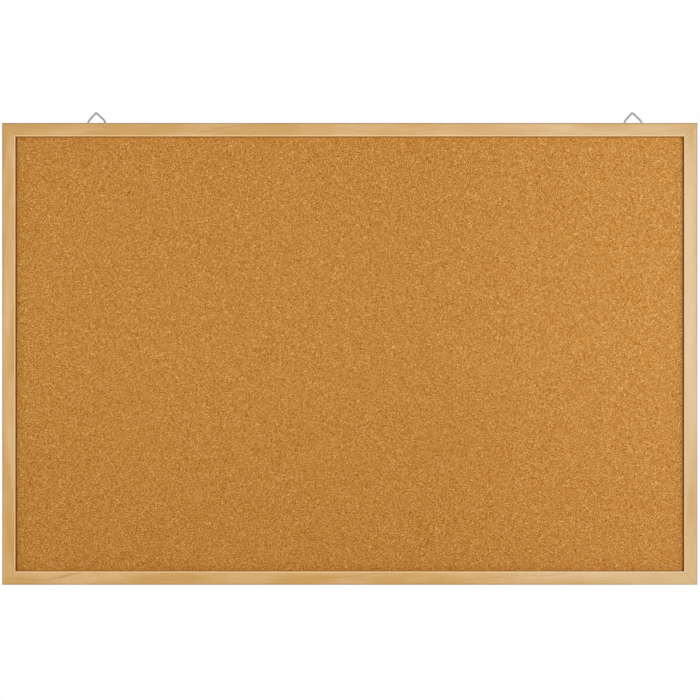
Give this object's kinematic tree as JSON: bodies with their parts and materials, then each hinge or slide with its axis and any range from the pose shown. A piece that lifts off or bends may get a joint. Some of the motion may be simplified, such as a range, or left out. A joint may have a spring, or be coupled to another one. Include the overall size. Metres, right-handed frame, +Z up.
{
  "type": "wall cork board",
  "caption": "Landscape pin board: a cork-faced panel in a mitred, rounded pale wood frame, hung from triangular wire rings that swing in sheet straps on the back of the top rail.",
  "frame": {"origin": "centre of the bottom rail's flat back face, which lies against the wall", "axes": "+X right seen from the front, +Y from the board towards the wall, +Z up"},
  "size_m": [0.9, 0.0226, 0.6158],
  "materials": {
    "frame_wood": "satin",
    "cork": "matte",
    "fibreboard": "matte",
    "kraft_paper": "matte",
    "plated_steel": "polished",
    "nail_steel": "satin"
  },
  "bodies": {
    "board": {"top_rail": "frame_wood", "bottom_rail": "frame_wood", "left_stile": "frame_wood", "right_stile": "frame_wood", "cork_sheet": "cork", "fibreboard_core": "fibreboard", "backing_paper": "kraft_paper", "v_nail_bottom_left_outer": "nail_steel", "v_nail_bottom_left_inner": "nail_steel", "v_nail_bottom_right_outer": "nail_steel", "v_nail_bottom_right_inner": "nail_steel", "v_nail_top_right_outer": "nail_steel", "v_nail_top_right_inner": "nail_steel", "v_nail_top_left_outer": "nail_steel", "v_nail_top_left_inner": "nail_steel", "left_hanger_strap": "plated_steel", "left_hanger_screw": "plated_steel", "right_hanger_strap": "plated_steel", "right_hanger_screw": "plated_steel"},
    "left_ring": {"left_hanger_ring": "plated_steel"},
    "right_ring": {"right_hanger_ring": "plated_steel"}
  },
  "joints": [
    {"name": "left_ring_swing", "type": "hinge", "parent": "board", "child": "left_ring", "pos_m": [-0.332, 0.0023, 0.58629], "axis": [-1, 0, 0], "range_deg": [-26, 183]},
    {"name": "right_ring_swing", "type": "hinge", "parent": "board", "child": "right_ring", "pos_m": [0.3715, 0.0023, 0.58629], "axis": [-1, 0, 0], "range_deg": [-26, 183]}
  ]
}
